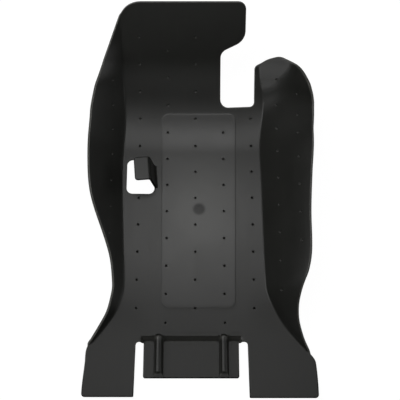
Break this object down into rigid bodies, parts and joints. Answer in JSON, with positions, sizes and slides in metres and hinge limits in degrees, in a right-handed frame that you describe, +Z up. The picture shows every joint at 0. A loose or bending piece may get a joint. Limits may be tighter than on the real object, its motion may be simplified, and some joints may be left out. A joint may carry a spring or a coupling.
{
  "type": "motorcycle skid plate",
  "caption": "Moulded plastic plate that guards the underside of a motorcycle engine, with raised side wings, an upturned front, a clip hook and a stepped rear tab.",
  "frame": {"origin": "On the flat underside of the floor, half way between the rear step and the front bend, under the middle column of the moulded pits.", "axes": "+Y runs to the upturned front, +X to the side with the front notch and the taller wing, +Z up from the flat underside into the engine's side."},
  "size_m": [0.2831, 0.4749, 0.1186],
  "materials": {
    "plate": "satin black moulded polypropylene"
  },
  "bodies": {
    "root": {"skid_plate": "plate"}
  },
  "joints": []
}
